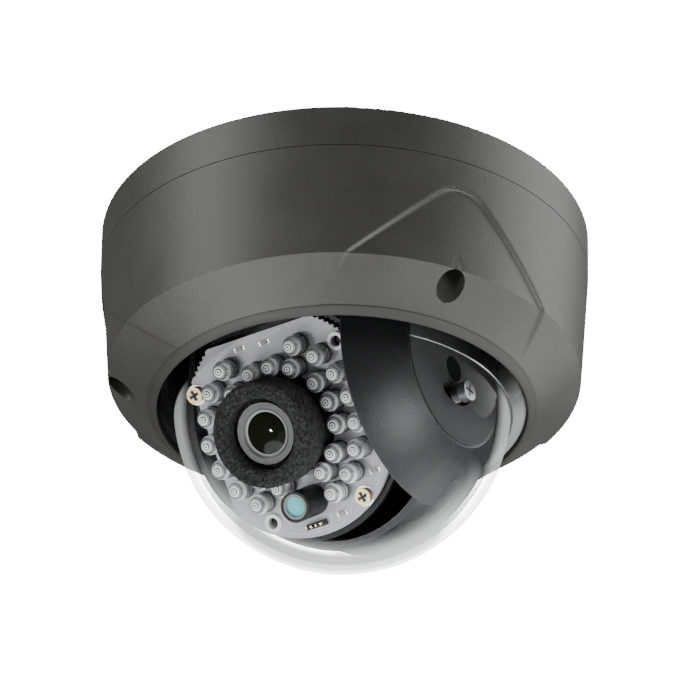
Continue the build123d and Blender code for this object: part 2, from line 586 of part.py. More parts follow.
# ---- names and files -------------------------------------------------------------------
PIECES = {
    "mounting_base": mounting_base,
    "base_seal": base_seal,
    "cable_grommet": cable_grommet,
    "main_board": main_board,
    "board_chips": board_chips,
    "board_connectors": board_connectors,
    "board_screws": board_screws,
    "pan_base": pan_base,
    "pan_base_screws": pan_base_screws,
    "pan_retainer": pan_retainer,
    "hub_screws": hub_screws,
    "dome_cover": dome_cover,
    "cover_screws": cover_screws,
    "screw_seals": screw_seals,
    "dome_bubble": dome_bubble,
    "bubble_gasket": bubble_gasket,
    "bubble_retainer": bubble_retainer,
    "retainer_screws": retainer_screws,
    "turntable": turntable,
    "yoke": yoke,
    "yoke_screws": yoke_screws,
    "liner": liner,
    "chassis": chassis,
    "chin": chin,
    "lamp_board": lamp_board,
    "lamp_board_screws": lamp_board_screws,
    "hole_collars": hole_collars,
    "infrared_leds": infrared_leds,
    "board_chip_parts": board_chip_parts,
    "header_base": header_base,
    "header_pins": header_pins,
    "sensor_tube": sensor_tube,
    "sensor_rim": sensor_rim,
    "sensor_window": sensor_window,
    "tilt_lock_screws": tilt_lock_screws,
    "lens_holder": lens_holder,
    "turn_ring": turn_ring,
    "lens_barrel": lens_barrel,
    "front_lens": front_lens,
    "rear_lens": rear_lens,
    "foam_ring": foam_ring,
    "sensor_board": sensor_board,
    "image_sensor": image_sensor,
    "infrared_filter": infrared_filter,
    "sensor_connector": sensor_connector,
    "sensor_screws": sensor_screws,
}
for name, piece in PIECES.items():
    piece.part.label = name
    export_step(piece.part, "parts/" + name + ".step")
    print(name, len(piece.part.solids()), round(piece.part.volume, 1), piece.part.is_valid)
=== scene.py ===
"""Looks for the ceiling dome camera: paint, clear bubble, black liner, lamp board and lens.
Metres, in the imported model's frame: z = 0 against the ceiling, the bubble hangs down."""
import bpy
import bmesh
import json
import math
import random
import numpy as np
from mathutils import Matrix, Vector


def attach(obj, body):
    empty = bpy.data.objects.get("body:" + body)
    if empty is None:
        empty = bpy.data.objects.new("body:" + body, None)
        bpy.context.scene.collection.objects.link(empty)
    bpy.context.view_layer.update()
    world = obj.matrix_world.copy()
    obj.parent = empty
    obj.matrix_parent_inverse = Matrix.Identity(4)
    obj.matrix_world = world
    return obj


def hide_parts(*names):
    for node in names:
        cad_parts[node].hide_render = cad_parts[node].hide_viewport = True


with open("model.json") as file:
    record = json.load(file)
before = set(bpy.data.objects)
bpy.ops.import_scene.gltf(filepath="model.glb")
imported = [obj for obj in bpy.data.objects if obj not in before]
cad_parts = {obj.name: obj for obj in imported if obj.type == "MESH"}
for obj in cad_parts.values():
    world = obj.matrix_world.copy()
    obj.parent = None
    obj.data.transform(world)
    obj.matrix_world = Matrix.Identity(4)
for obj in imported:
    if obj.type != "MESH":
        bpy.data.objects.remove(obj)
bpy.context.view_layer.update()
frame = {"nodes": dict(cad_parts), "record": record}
random.seed(7)
MM = 0.001

# ---- camera: seen from below and in front, through a long lens --------------------------
# It stands about 1.7 m away, so the round rims are near-true ellipses.
LOOK_UP = math.radians(31.531)
ROLL = math.radians(0.896)
DISTANCE = 1.7115
LENS_MM = 390.5
ASIDE, ABOVE = 1.68 * MM, 9.68 * MM      # framing: the object sits a little low and left
forward = Vector((0, math.cos(LOOK_UP), math.sin(LOOK_UP)))
right = Vector((1, 0, 0))
up = right.cross(forward)
right_r = math.cos(ROLL) * right + math.sin(ROLL) * up
up_r = -math.sin(ROLL) * right + math.cos(ROLL) * up
camera = bpy.data.objects.new("camera", bpy.data.cameras.new("camera"))
bpy.context.collection.objects.link(camera)
camera.data.lens = LENS_MM
camera.data.sensor_width = 36
camera.data.clip_start, camera.data.clip_end = 0.1, 20
turn = Matrix((right_r, up_r, -forward)).transposed()
aim = Vector((0, 0, -41 * MM)) + right_r * ASIDE + up_r * ABOVE
camera.matrix_world = Matrix.Translation(aim - forward * DISTANCE) @ turn.to_4x4()
bpy.context.scene.camera = camera

# ---- studio: white surroundings, soft lights, pale floor far below ----------------------
# Two tall panels stand left and right, a low panel in front gives the liner its glow,
# and light coming up off the floor brightens the underside.
world = bpy.data.worlds.new("studio")
bpy.context.scene.world = world
world.use_nodes = True
wn, wl = world.node_tree.nodes, world.node_tree.links
backdrop = wn["Background"]
backdrop.inputs["Color"].default_value = (1, 1, 1, 1)
backdrop.inputs["Strength"].default_value = 17.0
ambient = wn.new("ShaderNodeBackground")
ambient.inputs["Color"].default_value = (0.97, 0.98, 1, 1)
ambient.inputs["Strength"].default_value = 0.16
seen = wn.new("ShaderNodeLightPath")
choose = wn.new("ShaderNodeMixShader")
wl.new(seen.outputs["Is Camera Ray"], choose.inputs["Fac"])
wl.new(ambient.outputs["Background"], choose.inputs[1])
wl.new(backdrop.outputs["Background"], choose.inputs[2])
wl.new(choose.outputs["Shader"], wn["World Output"].inputs["Surface"])


def soft_light(name, toward, away, size, watts, mirrored=True):
    """Round panel light, a given way off in some direction, facing the object."""
    lamp = bpy.data.lights.new(name, "AREA")
    lamp.shape = "DISK"
    lamp.size = size
    lamp.energy = watts
    holder = bpy.data.objects.new(name, lamp)
    bpy.context.collection.objects.link(holder)
    ray = Vector(toward).normalized()
    holder.location = ray * away + Vector((0, 0, -0.04))
    holder.rotation_mode = "QUATERNION"
    holder.rotation_quaternion = ray.to_track_quat("Z", "Y")
    holder.visible_glossy = mirrored


soft_light("left_panel", (-0.77, -0.38, 0.50), 1.1, 0.7, 7)
soft_light("right_panel", (0.86, 0.08, 0.50), 1.0, 1.0, 8.5)
soft_light("low_front", (0.72, -0.50, -0.475), 1.0, 0.45, 7.5)
soft_light("low_left", (-0.52, -0.04, -0.85), 1.1, 0.7, 7)
soft_light("low_right", (0.70, 0.46, -0.55), 1.1, 0.8, 6.5)
soft_light("lamp_sparkle", (-0.70, -0.42, -0.55), 1.3, 0.07, 4)
soft_light("floor_bounce", (0.05, -0.15, -1.0), 1.15, 2.2, 11)

floor_mesh = bpy.data.meshes.new("floor")
floor_mesh.from_pydata([(-6, -6, -1.4), (6, -6, -1.4), (6, 6, -1.4), (-6, 6, -1.4)], [], [(0, 1, 2, 3)])
floor = bpy.data.objects.new("floor", floor_mesh)
bpy.context.collection.objects.link(floor)
pale = bpy.data.materials.new("pale_floor")
pale.use_nodes = True
pale.node_tree.nodes["Principled BSDF"].inputs["Base Color"].default_value = (0.8, 0.8, 0.79, 1)
pale.node_tree.nodes["Principled BSDF"].inputs["Roughness"].default_value = 0.9
floor_mesh.materials.append(pale)


# ---- helpers shared by the pieces below -------------------------------------------------
def surface(name, dark, light, rough, grain, bump, metal=0.0, wear=None, wear_edge=0.25,
            patch=18.0, spread_from=(0.45, 1.1), shine=0.5, crevice_shade=0.0):
    """Mottled finish: two tones by fine grain and by larger patches, rubbed edges, uneven gloss, and, if
    asked, painted shade that darkens crevices and dulls their gloss.
    """
    made = bpy.data.materials.new(name)
    made.use_nodes = True
    n, l = made.node_tree.nodes, made.node_tree.links
    skin = n["Principled BSDF"]
    where = n.new("ShaderNodeTexCoord")
    fine = n.new("ShaderNodeTexNoise")
    fine.inputs["Scale"].default_value = 1 / (grain * MM)
    fine.inputs["Detail"].default_value = 3
    broad = n.new("ShaderNodeTexNoise")
    broad.inputs["Scale"].default_value = 1 / (patch * MM)
    broad.inputs["Detail"].default_value = 4
    for noise in (fine, broad):
        l.new(where.outputs["Object"], noise.inputs["Vector"])
    both = n.new("ShaderNodeMath")
    both.operation = "MULTIPLY_ADD"
    both.inputs[1].default_value = 0.55
    l.new(fine.outputs["Fac"], both.inputs[0])
    l.new(broad.outputs["Fac"], both.inputs[2])
    spread = n.new("ShaderNodeMapRange")
    spread.inputs["From Min"].default_value, spread.inputs["From Max"].default_value = spread_from
    l.new(both.outputs["Value"], spread.inputs["Value"])
    tone = n.new("ShaderNodeMix")
    tone.data_type = "RGBA"
    tone.inputs[6].default_value = (*dark, 1)
    tone.inputs[7].default_value = (*light, 1)
    l.new(spread.outputs["Result"], tone.inputs[0])
    colour = tone.outputs[2]
    gloss = n.new("ShaderNodeMapRange")
    gloss.inputs["To Min"].default_value = rough[0]
    gloss.inputs["To Max"].default_value = rough[1]
    l.new(broad.outputs["Fac"], gloss.inputs["Value"])
    l.new(gloss.outputs["Result"], skin.inputs["Roughness"])
    skin.inputs["Metallic"].default_value = metal
    skin.inputs["Specular IOR Level"].default_value = shine
    if wear:
        round_off = n.new("ShaderNodeBevel")
        round_off.samples = 4
        round_off.inputs["Radius"].default_value = wear_edge * MM
        flat = n.new("ShaderNodeNewGeometry")
        turn_by = n.new("ShaderNodeVectorMath")
        turn_by.operation = "DOT_PRODUCT"
        l.new(round_off.outputs["Normal"], turn_by.inputs[0])
        l.new(flat.outputs["Normal"], turn_by.inputs[1])
        edge = n.new("ShaderNodeMapRange")
        edge.inputs["From Min"].default_value = 0.995
        edge.inputs["From Max"].default_value = 0.93
        l.new(turn_by.outputs["Value"], edge.inputs["Value"])
        rubbed = n.new("ShaderNodeMath")
        rubbed.operation = "MULTIPLY"
        l.new(edge.outputs["Result"], rubbed.inputs[0])
        l.new(spread.outputs["Result"], rubbed.inputs[1])
        worn = n.new("ShaderNodeMix")
        worn.data_type = "RGBA"
        worn.inputs[7].default_value = (*wear, 1)
        l.new(rubbed.outputs["Value"], worn.inputs[0])
        l.new(colour, worn.inputs[6])
        colour = worn.outputs[2]
    # Painted shade: ambient occlusion darkens the colour in crevices and concave corners and takes their
    # gloss away.
    if crevice_shade:
        near = n.new("ShaderNodeAmbientOcclusion")
        near.samples = 8
        near.inputs["Distance"].default_value = crevice_shade * MM
        deepen = n.new("ShaderNodeMapRange")
        deepen.inputs["From Min"].default_value = 0.45
        deepen.inputs["From Max"].default_value = 0.92
        l.new(near.outputs["AO"], deepen.inputs["Value"])
        crevice_painted_shade = n.new("ShaderNodeMix")
        crevice_painted_shade.data_type = "RGBA"
        crevice_painted_shade.inputs[6].default_value = (dark[0] * 0.2, dark[1] * 0.2, dark[2] * 0.2, 1)
        l.new(deepen.outputs["Result"], crevice_painted_shade.inputs[0])
        l.new(colour, crevice_painted_shade.inputs[7])
        colour = crevice_painted_shade.outputs[2]
        shine_there = n.new("ShaderNodeMapRange")
        shine_there.inputs["To Min"].default_value = 0.95
        shine_there.inputs["To Max"].default_value = 0.0
        l.new(deepen.outputs["Result"], shine_there.inputs["Value"])
        duller = n.new("ShaderNodeMath")
        duller.operation = "MAXIMUM"
        l.new(gloss.outputs["Result"], duller.inputs[0])
        l.new(shine_there.outputs["Result"], duller.inputs[1])
        l.new(duller.outputs["Value"], skin.inputs["Roughness"])
    l.new(colour, skin.inputs["Base Color"])
    lumps = n.new("ShaderNodeBump")
    lumps.inputs["Strength"].default_value = 0.6
    lumps.inputs["Distance"].default_value = bump * MM
    l.new(fine.outputs["Fac"], lumps.inputs["Height"])
    l.new(lumps.outputs["Normal"], skin.inputs["Normal"])
    return made


def paint(material, *nodes):
    """Give CAD pieces one finish."""
    for node in nodes:
        target = frame["nodes"][node]
        target.data.materials.clear()
        target.data.materials.append(material)


def ease(node, radius, segments=3):
    """Round the sharp edges of a CAD piece a little, as moulding or casting leaves them."""
    soften = frame["nodes"][node].modifiers.new("eased_edges", "BEVEL")
    soften.width = radius * MM
    soften.segments = segments
    soften.limit_method = "ANGLE"
    soften.angle_limit = math.radians(25)
    soften.harden_normals = True


PAN_ANGLE = math.radians(-34)
TILT_ANGLE = math.radians(37)
AXIS_T = Vector((math.cos(PAN_ANGLE), math.sin(PAN_ANGLE), 0))
AXIS_O = Vector((math.cos(TILT_ANGLE) * math.sin(PAN_ANGLE),
                 -math.cos(TILT_ANGLE) * math.cos(PAN_ANGLE), -math.sin(TILT_ANGLE)))
AXIS_V = AXIS_O.cross(AXIS_T)
BALL = Vector((0, 0, -44.4 * MM))
LENS_OFFSET = -5.5 * MM
TO_LENS = Matrix((AXIS_T, AXIS_V, AXIS_O)).transposed().to_4x4()
TO_LENS.translation = BALL + AXIS_T * LENS_OFFSET
TO_ROOM = Matrix.Identity(4)


def turned(name, outline, spots, place, body, material, stands_for=(), steps=48, jitter=0.0):
    """Lathe-turned piece, or several alike, from (radius, height) points in millimetres."""
    mesh = bmesh.new()
    for x, y in spots:
        start = random.uniform(0, 6.28)
        rows = []
        for radius, height in outline:
            if radius < 1e-6:
                rows.append([mesh.verts.new(place @ (Vector((x, y, height)) * MM))])
                continue
            row = []
            for k in range(steps):
                a = start + 2 * math.pi * k / steps
                r = radius * (1 + random.uniform(-jitter, jitter))
                spot = Vector((x + r * math.cos(a), y + r * math.sin(a), height)) * MM
                row.append(mesh.verts.new(place @ spot))
            rows.append(row)
        for low, high in zip(rows, rows[1:]):
            for k in range(steps):
                j = (k + 1) % steps
                if len(low) == 1 and len(high) == 1:
                    continue
                if len(low) == 1:
                    mesh.faces.new((low[0], high[j], high[k]))
                elif len(high) == 1:
                    mesh.faces.new((low[k], low[j], high[0]))
                else:
                    mesh.faces.new((low[k], low[j], high[j], high[k]))
    bmesh.ops.recalc_face_normals(mesh, faces=mesh.faces)
    return piece(name, mesh, body, material, stands_for, smooth=math.radians(38))


def piece(name, mesh, body, material, stands_for=(), smooth=None):
    """Finish a made piece: link it, give it its material and fix it to its moving body."""
    data = bpy.data.meshes.new(name)
    mesh.to_mesh(data)
    mesh.free()
    made = bpy.data.objects.new(name, data)
    bpy.context.collection.objects.link(made)
    data.materials.append(material)
    if smooth:
        data.shade_smooth()
        data.set_sharp_from_angle(angle=smooth)
    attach(made, body)
    if stands_for:
        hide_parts(*stands_for)
    return made


def polar(radius, angles):
    return [(radius * math.cos(math.radians(a)), radius * math.sin(math.radians(a))) for a in angles]


def blocks(name, boxes, place, body, material, stands_for=()):
    """Small rectangular pieces: (x, y, turn, length, width, low, high) each, in millimetres."""
    mesh = bmesh.new()
    for x, y, spin, length, width, low, high in boxes:
        ca, sa = math.cos(math.radians(spin)), math.sin(math.radians(spin))
        corners = []
        for z in (low, high):
            for u, w in ((-1, -1), (1, -1), (1, 1), (-1, 1)):
                du, dw = u * length / 2, w * width / 2
                spot = Vector((x + du * ca - dw * sa, y + du * sa + dw * ca, z)) * MM
                corners.append(mesh.verts.new(place @ spot))
        for quad in ((3, 2, 1, 0), (4, 5, 6, 7), (0, 1, 5, 4), (1, 2, 6, 5), (2, 3, 7, 6), (3, 0, 4, 7)):
            mesh.faces.new([corners[i] for i in quad])
    bmesh.ops.recalc_face_normals(mesh, faces=mesh.faces)
    return piece(name, mesh, body, material, stands_for)


# ---- base and cover ---------------------------------------------------------------------
# Two aluminium die castings in fine-textured warm-grey powder paint, with a thin rubber
# seal between them; the paint is rubbed thin on the edges of the raised panels, and painted
# shade darkens it in crevices and concave corners.
PAINT_DARK = (0.033, 0.033, 0.030)
PAINT_LIGHT = (0.050, 0.050, 0.0455)
PAINT_RUBBED = (0.075, 0.075, 0.07)
grey_paint = surface("grey_paint", PAINT_DARK, PAINT_LIGHT, (0.40, 0.50), 0.36, 0.09,
                     wear=PAINT_RUBBED, wear_edge=0.3, spread_from=(0.5, 1.0), crevice_shade=1.6)
paint(grey_paint, "mounting_base", "dome_cover")
ease("dome_cover", 0.35, 4)
rubber = surface("black_rubber", (0.010, 0.010, 0.010), (0.022, 0.022, 0.021), (0.7, 0.9), 0.5, 0.02,
                 wear=(0.05, 0.05, 0.05))
paint(rubber, "base_seal", "cable_grommet", "bubble_gasket", "screw_seals")
ease("cable_grommet", 0.3)

# ---- cover's outer skin -----------------------------------------------------------------
# The cast face under its powder coat: three shield shapes are sunk 0.6 mm round the
# screws, with soft sloping edges, and run out to nothing on the cone above the lip.
WALL_TOP, SHOULDER, MOUTH = (55.5, -10.45), (53.7, -37.4), (41.9, -46.2)
SCREW_TURNS = (58, 178, 298)
COLUMNS = 720
skin_rows = []
for k in range(56):
    t = k / 55
    wall_r = WALL_TOP[0] + t * (SHOULDER[0] - WALL_TOP[0])
    skin_rows.append((wall_r, WALL_TOP[1] + t * (SHOULDER[1] - WALL_TOP[1]), -3.8))
for k in range(1, 9):
    skin_rows.append((*SHOULDER, -3.8 + (-53.3 + 3.8) * k / 8))
for k in range(1, 41):
    t = k / 40
    cone_r = SHOULDER[0] + t * (MOUTH[0] - SHOULDER[0])
    skin_rows.append((cone_r, SHOULDER[1] + t * (MOUTH[1] - SHOULDER[1]), -53.3))
for k in range(1, 9):
    skin_rows.append((*MOUTH, -53.3 + (-180 + 53.3) * k / 8))
skin_rows.append((MOUTH[0], MOUTH[1] + 0.8, -180))
base_r = np.array([row[0] for row in skin_rows])[:, None]
base_z = np.array([row[1] for row in skin_rows])[:, None]
lean = np.radians(np.array([row[2] for row in skin_rows]))[:, None]
around = (np.arange(COLUMNS) * 2 * math.pi / COLUMNS)[None, :]


def rounded(corners):
    """Closed outline with its corners rounded: (x, z, radius) each."""
    made = []
    for k, (x, z, radius) in enumerate(corners):
        here = Vector((x, z))
        before = (Vector(corners[k - 1][:2]) - here).normalized()
        after = (Vector(corners[(k + 1) % len(corners)][:2]) - here).normalized()
        half = before.angle(after) / 2
        reach = radius / math.tan(half)
        start, stop = here + before * reach, here + after * reach
        for j in range(13):
            u = j / 12
            made.append(start * (1 - u) ** 2 + here * 2 * u * (1 - u) + stop * u ** 2)
    return np.array([tuple(p) for p in made])


SHIELD = rounded([(0, -13.8, 9.8), (25.4, -37.2, 3.0), (25.9, -52, 0.5),
                  (-25.9, -52, 0.5), (-25.4, -37.2, 3.0)])
SINK, FADE_Z = 0.6, -44.19               # depth of the shields, and where they run out
SINK_LIFT = 0.21                         # the sunken face also sits this much higher
BORDER = 0.85                            # width of the shields' sloping border
ground = 0.03 + 0.12 * np.clip((-base_z - 12) / 20, 0, 1) * np.clip((base_z + 46.2) / 3, 0, 1)
on_cone = np.clip((base_z - FADE_Z) / (SHOULDER[1] - FADE_Z), 0, 1)
floor_r = np.where(base_z < SHOULDER[1], base_r - SINK * on_cone, base_r - SINK)
down_wall = (base_z - WALL_TOP[1]) / (SHOULDER[1] - WALL_TOP[1])
floor_z = base_z + SINK_LIFT * np.where(base_z < SHOULDER[1], on_cone, down_wall)
sunk = np.zeros((len(skin_rows), COLUMNS))
for centre in SCREW_TURNS:
    away = (around - math.radians(centre) + math.pi) % (2 * math.pi) - math.pi
    side = base_r * np.sin(away)
    depth = base_z + 0 * side
    gap = np.full(side.shape, 99.0)
    inside = np.zeros(side.shape, bool)
    for (x0, z0), (x1, z1) in zip(SHIELD, np.roll(SHIELD, -1, axis=0)):
        dx, dz = x1 - x0, z1 - z0
        along = np.clip(((side - x0) * dx + (depth - z0) * dz) / (dx * dx + dz * dz + 1e-12), 0, 1)
        gap = np.minimum(gap, np.hypot(side - x0 - along * dx, depth - z0 - along * dz))
        inside ^= ((z0 > depth) != (z1 > depth)) & (side < (x1 - x0) * (depth - z0) / (z1 - z0 + 1e-12) + x0)
    slope = np.where(inside, np.clip(gap / BORDER, 0, 1), 0.0)
    slope = np.where(np.abs(away) < math.radians(45), slope * slope * (3 - 2 * slope), 0)
    sunk = np.maximum(sunk, slope)
face_r = np.minimum(base_r + ground * np.cos(lean), 55.49)
face_z = base_z + ground * np.sin(lean)
skin_r = face_r + sunk * (floor_r + 0.03 * np.cos(lean) - face_r)
skin_z = face_z + sunk * (floor_z + 0.03 * np.sin(lean) - face_z)
skin_x, skin_y = skin_r * np.cos(around), skin_r * np.sin(around)
HOLE_R, SNAP = 3.18, 0.16                # screw hole, and how near a point is pulled to its rim
keep = np.ones(skin_x.shape, bool)
for centre in SCREW_TURNS:
    hx, hy = 50 * math.cos(math.radians(centre)), 50 * math.sin(math.radians(centre))
    far = np.hypot(skin_x - hx, skin_y - hy)
    keep &= far > HOLE_R - SNAP
    snap = np.abs(far - HOLE_R) <= SNAP
    pull = np.where(snap, HOLE_R / np.maximum(far, 0.1), 1)
    skin_x = hx + (skin_x - hx) * pull
    skin_y = hy + (skin_y - hy) * pull
skin_mesh = bmesh.new()
spots = np.stack((skin_x, skin_y, skin_z), axis=-1) * MM
grid = [[skin_mesh.verts.new(spots[i, j]) if keep[i, j] else None for j in range(COLUMNS)]
        for i in range(len(skin_rows))]
for i in range(len(skin_rows) - 1):
    for j in range(COLUMNS):
        quad = (grid[i][j], grid[i][(j + 1) % COLUMNS], grid[i + 1][(j + 1) % COLUMNS], grid[i + 1][j])
        corners = [v for v in quad if v]
        if len(corners) >= 3:
            skin_mesh.faces.new(corners[::-1])
piece("cover_skin", skin_mesh, "cover", grey_paint, smooth=math.radians(60))
lip_paint = surface("lip_paint", (0.022, 0.022, 0.020), (0.036, 0.036, 0.033), (0.5, 0.6), 0.36, 0.06)
LIP = [(43.9, -44.98), (43.6, -45.27), (42.2, -46.32), (41.85, -46.34), (41.7, -46.1), (41.7, -45.4)]
turned("lip_band", LIP, [(0, 0)], TO_ROOM, "cover", lip_paint, steps=360)

# ---- cover screws -----------------------------------------------------------------------
# Blackened steel security screws sunk in the cover's three corner holes.
dark_steel = surface("dark_steel", (0.10, 0.12, 0.13), (0.20, 0.22, 0.23), (0.22, 0.4), 0.4, 0.01,
                     metal=1.0, wear=(0.5, 0.5, 0.5), wear_edge=0.12)
paint(dark_steel, "cover_screws")
ease("cover_screws", 0.15)

# ---- bubble -----------------------------------------------------------------------------
# Clear injection-moulded polycarbonate, 2.2 mm thick, with a fillet where the dome
# meets its flared rim; a grey-painted steel ring clamps it from inside. A lit grey diffuse
# layer on the lower rim and the right side is painted reflection, and the fillet bead is a
# painted highlight: glossy on the right side only, clear elsewhere.
clear = bpy.data.materials.new("clear_dome")
clear.use_nodes = True
cn, cl = clear.node_tree.nodes, clear.node_tree.links
cn.remove(cn["Principled BSDF"])
through = cn.new("ShaderNodeBsdfTransparent")
through.inputs["Color"].default_value = (0.985, 0.99, 0.99, 1)
shine = cn.new("ShaderNodeBsdfGlossy")
shine.inputs["Roughness"].default_value = 0.06
# Painted reflection: a lit grey diffuse layer, shown where the dome is seen at a grazing angle low down and
# on the right side, stands in for the clear dome's grazing reflection.
painted_rim_reflection = cn.new("ShaderNodeBsdfDiffuse")
painted_rim_reflection.inputs["Color"].default_value = (0.50, 0.51, 0.51, 1)
outside = cn.new("ShaderNodeNewGeometry")
front = cn.new("ShaderNodeMath")
front.operation = "SUBTRACT"
front.inputs[0].default_value = 1.0
cl.new(outside.outputs["Backfacing"], front.inputs[1])
grazing = cn.new("ShaderNodeFresnel")
grazing.inputs["IOR"].default_value = 1.45
lift = cn.new("ShaderNodeMapRange")
lift.inputs["From Min"].default_value = 0.045
lift.inputs["To Max"].default_value = 0.8
cl.new(grazing.outputs["Fac"], lift.inputs["Value"])
share = cn.new("ShaderNodeMath")
share.operation = "MULTIPLY"
cl.new(front.outputs["Value"], share.inputs[0])
cl.new(lift.outputs["Result"], share.inputs[1])
coated = cn.new("ShaderNodeMixShader")
cl.new(share.outputs["Value"], coated.inputs["Fac"])
cl.new(through.outputs["BSDF"], coated.inputs[1])
cl.new(shine.outputs["BSDF"], coated.inputs[2])
rim = cn.new("ShaderNodeLayerWeight")
rim.inputs["Blend"].default_value = 0.5
rim_reflection_ramp = cn.new("ShaderNodeValToRGB")
for place, amount in ((0.39, 0.0), (0.45, 0.2), (0.50, 0.6), (0.55, 0.975), (0.66, 0.95), (0.78, 0.88)):
    stop = rim_reflection_ramp.color_ramp.elements.new(place)
    stop.color = (amount, amount, amount, 1)
rim_reflection_ramp.color_ramp.elements[-1].color = (0.1, 0.1, 0.1, 1)
cl.new(rim.outputs["Facing"], rim_reflection_ramp.inputs["Fac"])
tilt_down = cn.new("ShaderNodeSeparateXYZ")
cl.new(outside.outputs["Normal"], tilt_down.inputs["Vector"])
below = cn.new("ShaderNodeMapRange")
below.inputs["From Min"].default_value = -0.52
below.inputs["From Max"].default_value = -0.82
cl.new(tilt_down.outputs["Z"], below.inputs["Value"])
low_rim_reflection = cn.new("ShaderNodeMath")
low_rim_reflection.operation = "MULTIPLY"
cl.new(rim_reflection_ramp.outputs["Color"], low_rim_reflection.inputs[0])
cl.new(below.outputs["Result"], low_rim_reflection.inputs[1])
side_rim_reflection = cn.new("ShaderNodeMapRange")
side_rim_reflection.inputs["From Min"].default_value = 0.60
side_rim_reflection.inputs["From Max"].default_value = 0.74
side_rim_reflection.inputs["To Max"].default_value = 0.62
cl.new(rim.outputs["Facing"], side_rim_reflection.inputs["Value"])
rim_reflection_either = cn.new("ShaderNodeMath")
rim_reflection_either.operation = "MAXIMUM"
cl.new(low_rim_reflection.outputs["Value"], rim_reflection_either.inputs[0])
cl.new(side_rim_reflection.outputs["Result"], rim_reflection_either.inputs[1])
spot = cn.new("ShaderNodeTexCoord")
height = cn.new("ShaderNodeSeparateXYZ")
cl.new(spot.outputs["Object"], height.inputs["Vector"])
on_dome = cn.new("ShaderNodeMapRange")
on_dome.inputs["From Min"].default_value = -47.3 * MM
on_dome.inputs["From Max"].default_value = -48.2 * MM
cl.new(height.outputs["Z"], on_dome.inputs["Value"])
# Right side only, picked by position.
right_side_mask = cn.new("ShaderNodeMapRange")
right_side_mask.inputs["From Min"].default_value = 10 * MM
right_side_mask.inputs["From Max"].default_value = 24 * MM
right_side_mask.inputs["To Max"].default_value = 0.55
cl.new(height.outputs["X"], right_side_mask.inputs["Value"])
dome_or_right_side = cn.new("ShaderNodeMath")
dome_or_right_side.operation = "MAXIMUM"
cl.new(on_dome.outputs["Result"], dome_or_right_side.inputs[0])
cl.new(right_side_mask.outputs["Result"], dome_or_right_side.inputs[1])
rim_reflection_on_dome = cn.new("ShaderNodeMath")
rim_reflection_on_dome.operation = "MULTIPLY"
cl.new(rim_reflection_either.outputs["Value"], rim_reflection_on_dome.inputs[0])
cl.new(dome_or_right_side.outputs["Value"], rim_reflection_on_dome.inputs[1])
rim_reflection_front = cn.new("ShaderNodeMath")
rim_reflection_front.operation = "MULTIPLY"
cl.new(rim_reflection_on_dome.outputs["Value"], rim_reflection_front.inputs[0])
cl.new(front.outputs["Value"], rim_reflection_front.inputs[1])
rim_reflection_mix = cn.new("ShaderNodeMixShader")
cl.new(rim_reflection_front.outputs["Value"], rim_reflection_mix.inputs["Fac"])
cl.new(coated.outputs["Shader"], rim_reflection_mix.inputs[1])
cl.new(painted_rim_reflection.outputs["BSDF"], rim_reflection_mix.inputs[2])
cl.new(rim_reflection_mix.outputs["Shader"], cn["Material Output"].inputs["Surface"])
paint(clear, "dome_bubble")
crease_shine = bpy.data.materials.new("crease_shine")
crease_shine.use_nodes = True
bn, bl = crease_shine.node_tree.nodes, crease_shine.node_tree.links
bn.remove(bn["Principled BSDF"])
bead_clear = bn.new("ShaderNodeBsdfTransparent")
bead_shine = bn.new("ShaderNodeBsdfGlossy")
bead_shine.inputs["Roughness"].default_value = 0.22
bead = bn.new("ShaderNodeMixShader")
along = bn.new("ShaderNodeTexCoord")
across = bn.new("ShaderNodeSeparateXYZ")
bl.new(along.outputs["Object"], across.inputs["Vector"])
# Painted highlight: the bead is glossy only on the right side, picked by position, and clear elsewhere.
right_side_glint_mask = bn.new("ShaderNodeMapRange")
right_side_glint_mask.inputs["From Min"].default_value = 14.5 * MM
right_side_glint_mask.inputs["From Max"].default_value = 17 * MM
right_side_glint_mask.inputs["To Max"].default_value = 0.8
bl.new(across.outputs["X"], right_side_glint_mask.inputs["Value"])
bl.new(right_side_glint_mask.outputs["Result"], bead.inputs["Fac"])
bl.new(bead_clear.outputs["BSDF"], bead.inputs[1])
bl.new(bead_shine.outputs["BSDF"], bead.inputs[2])
bl.new(bead.outputs["Shader"], bn["Material Output"].inputs["Surface"])
CREASE = [(38.14, -47.2), (38.25, -47.28), (38.4, -47.24), (38.45, -47.1), (38.3, -47.04), (38.14, -47.2)]
turned("bubble_crease", CREASE, [(0, 0)], TO_ROOM, "cover", crease_shine, steps=256)
ring_paint = surface("grey_metal", (0.06, 0.06, 0.058), (0.1, 0.1, 0.096), (0.35, 0.5), 0.4, 0.02,
                     wear=(0.3, 0.3, 0.3))
zinc = surface("zinc_steel", (0.42, 0.43, 0.45), (0.62, 0.63, 0.64), (0.25, 0.42), 0.35, 0.01, metal=1.0,
               wear=(0.8, 0.8, 0.8), wear_edge=0.12)
paint(zinc, "retainer_screws", "board_screws", "pan_base_screws", "hub_screws", "yoke_screws",
      "sensor_screws")

